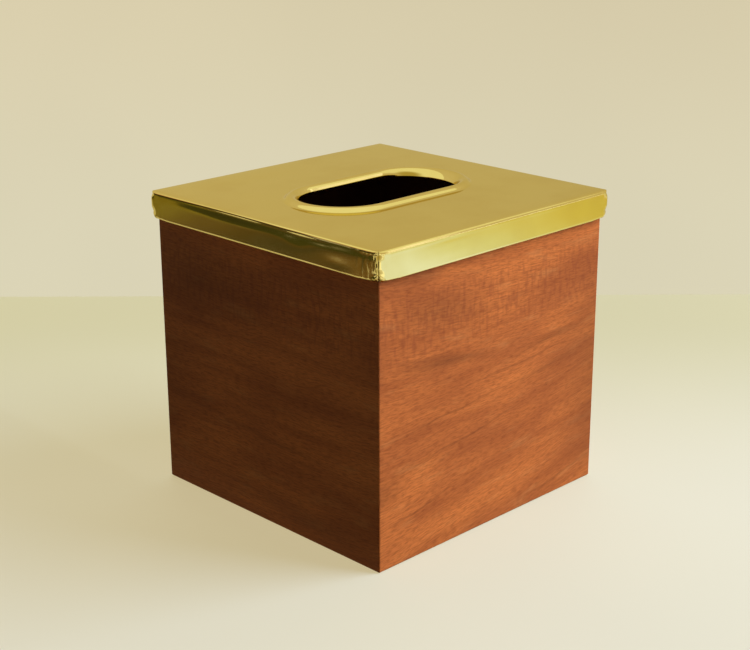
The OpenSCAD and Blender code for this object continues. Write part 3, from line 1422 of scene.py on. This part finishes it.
    def _lip_lean(self, x: float, y: float, z: float) -> np.ndarray:
        """The lean of the lip at the slot's two ends, where the sheet was drawn the hardest.

        Args:
            x, y, z: a point of the sheet.

        Returns:
            How the point moves.
        """
        lid = self.lid
        past = abs(x) - lid.slot_half
        reach = math.hypot(past, y)
        inside = lid.slot_width / 2 + lid.bead_radius - reach
        if past <= 0 or inside <= 0 or inside > lid.bead_radius + self.lip_reach:
            return np.zeros(3)
        below = lid.top + lid.bead_height - z
        lean = self.lip_slope * below * (past / reach) ** 2 * min(1.0, inside)
        return np.array([-math.copysign(past, x), -y, 0.0]) * lean / reach

    def _hammering(self, x: float, y: float) -> float:
        """How deep the hammer marks are at a point of the sheet."""
        front_left = x < 0 and y < 0 and abs(x) > abs(y)
        return self.hammered if front_left else self.spared * self.hammered


# The studio


@dataclass(frozen=True)
class ReflectionCard:
    """A lit or dark card that only the object's reflections show, like a photographer's flag."""

    name: str
    corner: Triple  # one corner, m
    across: Triple  # from that corner along the colours, m
    upward: Triple  # from that corner along the other edge, m
    colours: tuple[tuple[float, str, float], ...]  # share of the way, colour, strength
    steps: int = 24

    def build(self) -> Object:
        """Build the card.

        Returns:
            The card, which only reflections show.
        """
        corner, across, upward = (Vector(v) for v in (self.corner, self.across, self.upward))
        shares = [i / self.steps for i in range(self.steps + 1)]
        points = [corner + across * share + edge for share in shares for edge in (Vector(), upward)]
        faces = [(2 * i, 2 * i + 2, 2 * i + 3, 2 * i + 1) for i in range(self.steps)]
        data = bpy.data.meshes.new(self.name)
        data.from_pydata(points, [], faces)
        kept = data.attributes.new("share", "FLOAT", "POINT")
        kept.data.foreach_set("value", [share for share in shares for _ in (0, 1)])
        card = put(self.name, data)
        card.data.materials.append(self._glow())
        card.visible_camera = False
        card.visible_diffuse = False
        card.visible_shadow = False
        card.visible_transmission = False
        return card

    def _glow(self) -> Material:
        """Shade the card's light from colour to colour along it.

        Returns:
            The material.
        """
        material, tree, _ = start_material(self.name)
        share = add(tree, "Attribute", attribute_name="share").outputs["Fac"]
        ramp = add(tree, "ValToRGB", share)
        ramp.color_ramp.interpolation = "EASE"
        while len(ramp.color_ramp.elements) < len(self.colours):
            ramp.color_ramp.elements.new(0.5)
        for element, (place, colour, strength) in zip(ramp.color_ramp.elements, self.colours):
            element.position = place
            element.color = tuple(c * strength for c in linear(colour)[:3]) + (1.0,)
        light = add(tree, "Emission", {"Color": ramp, "Strength": 1.0})
        feed(tree.nodes["Material Output"], {"Surface": light})
        return material


def window_pane(angle: float) -> ReflectionCard:
    """One pane of a tall window far off to the right, which whitens the lid's fold near the corner.

    Args:
        angle: where it stands about a line along +X at the height of the lid, from +Y up, in
            degrees.

    Returns:
        The card.
    """
    far, near_edge, far_edge, half_height = 3.0, 2.915, 3.45, 0.82
    turn = math.radians(angle)
    out = Vector((0.0, math.cos(turn), math.sin(turn)))
    along = Vector((0.0, -math.sin(turn), math.cos(turn)))
    corner = Vector((far, -0.07, 0.137)) + out * near_edge - along * half_height
    return ReflectionCard(
        f"window_pane_{angle}",
        tuple(corner),
        tuple(out * (far_edge - near_edge)),
        tuple(along * 2 * half_height),
        ((0.0, "#DACDAB", 1.0), (0.22, "#FFFFFF", 1.3), (0.78, "#FFFFFF", 1.3), (1.0, "#DACDAB", 1.0)),
    )


@dataclass(frozen=True)
class SoftLamp:
    """A square area lamp that points at the box and leaves reflections to the cards."""

    name: str
    place: Triple  # m
    size: float  # m
    power: float  # W
    colour: str
    target: Triple = (0.0, 0.0, 0.06)  # m

    def build(self) -> Object:
        """Build the lamp.

        Returns:
            The lamp, turned towards the middle of the box.
        """
        data = bpy.data.lights.new(self.name, "AREA")
        data.size = self.size
        data.energy = self.power
        data.color = linear(self.colour)[:3]
        lamp = put(self.name, data)
        lamp.visible_glossy = False
        aim = Vector(self.target) - Vector(self.place)
        lamp.rotation_euler = aim.to_track_quat("-Z", "Y").to_euler()
        lamp.location = self.place
        return lamp


@dataclass
class Studio:
    """The pale shelf and wall, the lamps, the cards and the camera."""

    floor: PaintedBoard
    wall: PaintedBoard
    lamps: tuple[SoftLamp, ...]
    cards: tuple[ReflectionCard, ...]
    room: str = "#DACDAB"
    ceiling: str = "#FCFDE0"
    ceiling_from: Pair = (0.35, 0.62)  # sine of the angle above the horizon
    dim: str = "#BCAB62"
    dim_towards: Triple = (-0.62, -0.62, 0.48)
    dim_from: Pair = (0.70, 0.98)  # cosine of the angle away from dim_towards
    ambient: float = 0.15  # light that reaches the box from the dim side of the room
    fill: float = 1.1  # light from the side that fill_from points to
    fill_from: Triple = (0.86, 0.51, 0.0)
    camera_place: Triple = (-0.46148, -0.46477, 0.29558)
    yaw: float = -44.615
    pitch: float = 18.619
    roll: float = -0.191
    lens: float = 72.35
    floor_reach: float = 4.0  # from the middle to each edge, m
    floor_level: float = -0.00005  # a hair below the box, so that their faces do not meet, m
    wall_distance: float = 0.9375  # from the camera to the wall's foot, along the floor, m
    wall_reach: float = 2.5  # from the wall's middle to each end, m
    wall_height: float = 0.6  # low enough for the ceiling to show in the slot's bead

    def build(self) -> None:
        """Build everything that is not part of the object."""
        self._build_floor()
        self._build_wall()
        self._light_room()
        for thing in (*self.lamps, *self.cards):
            thing.build()
        self._build_camera()

    def _plane(self, name: str, corners: list[Triple], finish: PaintedBoard) -> Object:
        """Build a flat part of the stage, which sends no light back to the object.

        Args:
            name: its name.
            corners: its corners, anticlockwise seen from the front.
            finish: its paint.

        Returns:
            The new object.
        """
        data = bpy.data.meshes.new(name)
        data.from_pydata(corners, [], [tuple(range(len(corners)))])
        board = put(name, data)
        board.data.materials.append(finish.build())
        board.visible_diffuse = False
        return board

    def _build_floor(self) -> None:
        """Lay the floor."""
        turns = ((-1, -1), (1, -1), (1, 1), (-1, 1))
        reach = self.floor_reach
        self._plane("floor", [(x * reach, y * reach, self.floor_level) for x, y in turns], self.floor)

    def _build_wall(self) -> None:
        """Stand the wall behind the box, square to the camera's heading."""
        yaw = math.radians(self.yaw)
        heading = Vector((-math.sin(yaw), math.cos(yaw), 0))
        across = Vector((math.cos(yaw), math.sin(yaw), 0)) * self.wall_reach
        foot = Vector((*self.camera_place[:2], 0)) + heading * self.wall_distance
        tall = Vector((0, 0, self.wall_height))
        corners = (foot - across, foot + across, foot + across + tall, foot - across + tall)
        board = self._plane("wall", [tuple(corner) for corner in corners], self.wall)
        board.visible_shadow = False

    def _light_room(self) -> None:
        """Fill the room: pale where it is seen or reflected, dim where it lights the object."""
        world = bpy.data.worlds.new("room")
        world.use_nodes = True
        bpy.context.scene.world = world
        tree = world.node_tree
        smooth = {"interpolation_type": "SMOOTHSTEP"}
        heading = add(tree, "TexCoord").outputs["Generated"]
        towards, off_dim = (
            add(tree, "VectorMath DOT_PRODUCT", heading, direction).outputs["Value"]
            for direction in (self.fill_from, self.dim_towards)
        )
        filled = add(tree, "MapRange", towards, 0.0, 1.0, self.ambient, self.fill, **smooth)
        inputs = {0: seen_or_reflected(tree), 2: filled, 3: 1.0}
        strength = add(tree, "Mix", inputs, data_type="FLOAT")
        height = add(tree, "SeparateXYZ", heading).outputs[2]
        high = add(tree, "MapRange", height, *self.ceiling_from, **smooth)
        dimmed = add(tree, "MapRange", off_dim, *self.dim_from, **smooth)
        tone = lay_over(tree, self.room, (high, self.ceiling), (dimmed, self.dim))
        feed(tree.nodes["Background"], {"Color": tone, "Strength": strength})

    def _build_camera(self) -> None:
        """Set the camera where the photograph's perspective puts it."""
        yaw, pitch, roll = (math.radians(a) for a in (self.yaw, self.pitch, self.roll))
        flat = math.cos(pitch)
        back = Vector((math.sin(yaw) * flat, -math.cos(yaw) * flat, math.sin(pitch)))
        level = Vector((math.cos(yaw), math.sin(yaw), 0))
        upright = back.cross(level)
        right = level * math.cos(roll) + upright * math.sin(roll)
        up = upright * math.cos(roll) - level * math.sin(roll)
        data = bpy.data.cameras.new("camera")
        data.lens = self.lens
        data.sensor_width = 36.0
        camera = put("camera", data)
        turn = Matrix((right, up, back)).transposed().to_4x4()
        camera.matrix_world = Matrix.Translation(self.camera_place) @ turn
        bpy.context.scene.camera = camera


STUDIO = Studio(
    floor=PaintedBoard(
        "Painted_shelf_eggshell",
        # own glow yellower, painted warm light in the box's shadow; lit colour bluer, painted cool
        # window light; both fall off towards the far end
        near="#C1B28A",
        far="#BCAF78",
        ends=(-0.05, 0.25),
        direction=(0.702, 0.712, 0.0),
        lit="#8C9DB2",
        lit_far="#6C7A88",
    ),
    wall=PaintedBoard(
        "Painted_wall_matt",
        # own glow lighter near the floor, a painted falloff of light
        near="#D8D1B4",
        far="#D6CAA8",
        ends=(0.0, 0.25),
        direction=(0.0, 0.0, 1.0),
        lit="#242424",
        lit_far="#242424",
    ),
    lamps=(SoftLamp("window", (1.42, -1.35, 1.20), size=1.7, power=75.0, colour="#FFFCF6"),),
    cards=(
        ReflectionCard(
            "bright_shelf_card", (0.12, -0.52, 0.003), (0.50, 0.0, 0.0), (0.0, 0.26, 0.0),
            (
                (0.24, "#D5E5FF", 1.5), (0.42, "#F6FFE2", 0.94), (0.52, "#FFFFC6", 0.85),
                (0.66, "#FFF497", 0.78), (0.76, "#FFF48E", 0.74), (0.90, "#FFE9A8", 0.85),
            ),
        ),
        *(window_pane(angle) for angle in (139, 166)),
        ReflectionCard(
            "dark_shelf_card", (-0.45, 0.10, 0.003), (0.0, 0.62, 0.0), (0.13, 0.0, 0.0),
            (
                (0.22, "#755D3A", 1.0), (0.28, "#5D4D2F", 1.0), (0.37, "#4C442B", 1.0),
                (0.45, "#5C4C2A", 1.0), (0.52, "#6B5A38", 1.0), (0.60, "#867B3C", 1.0),
                (0.68, "#817329", 1.0),
            ),
        ),
        ReflectionCard(
            "near_shelf_card", (-0.25, -0.12, 0.003), (0.0, 0.44, 0.0), (0.17, 0.0, 0.0),
            (
                (0.0, "#C4BC89", 1.0), (0.2, "#9A8F68", 1.0), (0.5, "#7A6E50", 1.0),
                (1.0, "#7A6E50", 1.0),
            ),
        ),
        ReflectionCard(
            "bright_front_card", (-0.34, -0.60, 0.003), (0.46, 0.0, 0.0), (0.0, 0.31, 0.0),
            ((0.0, "#FFF6D2", 1.1), (0.3, "#FFFDEB", 1.4), (1.0, "#F0F8FF", 1.5)),
        ),
        ReflectionCard(
            "dark_front_card", (-0.62, -0.42, 0.003), (0.0, 0.52, 0.0), (0.28, 0.0, 0.0),
            (
                (0.0, "#8A7B50", 1.0), (0.35, "#5D4D2F", 1.0), (0.7, "#3A2E18", 1.0),
                (1.0, "#5D4D2F", 1.0),
            ),
        ),
        ReflectionCard(
            "dark_room_card", (-0.45, 0.10, 0.0), (0.0, 0.0, 0.50), (0.0, 0.80, 0.0),
            (
                (0.0, "#44431F", 1.0), (0.30, "#3C3A1E", 1.0), (0.47, "#2A2416", 1.0),
                (0.56, "#8A6040", 1.0), (0.64, "#C08850", 1.0), (0.76, "#DDBB86", 1.0),
                (1.0, "#E6DAB4", 1.0),
            ),
        ),
        ReflectionCard(
            "pale_jar_card", (-0.44, 0.31, 0.04), (0.0, 0.04, 0.0), (0.0, 0.0, 0.22),
            ((0.0, "#BDB9B3", 1.0), (1.0, "#BDB9B3", 1.0)),
        ),
    ),
)


def main() -> None:
    """Build the holder and its studio."""
    logging.basicConfig(level=logging.INFO, format="%(message)s")
    bpy.context.scene.view_settings.view_transform = "Standard"
    STUDIO.build()
    for piece in (*WoodenBox().build(), BrassLid(PolishedBrass()).build()):
        piece.data.calc_loop_triangles()
        LOG.info("%s: %d triangles", piece.name, len(piece.data.loop_triangles))


if __name__ == "__main__":
    main()
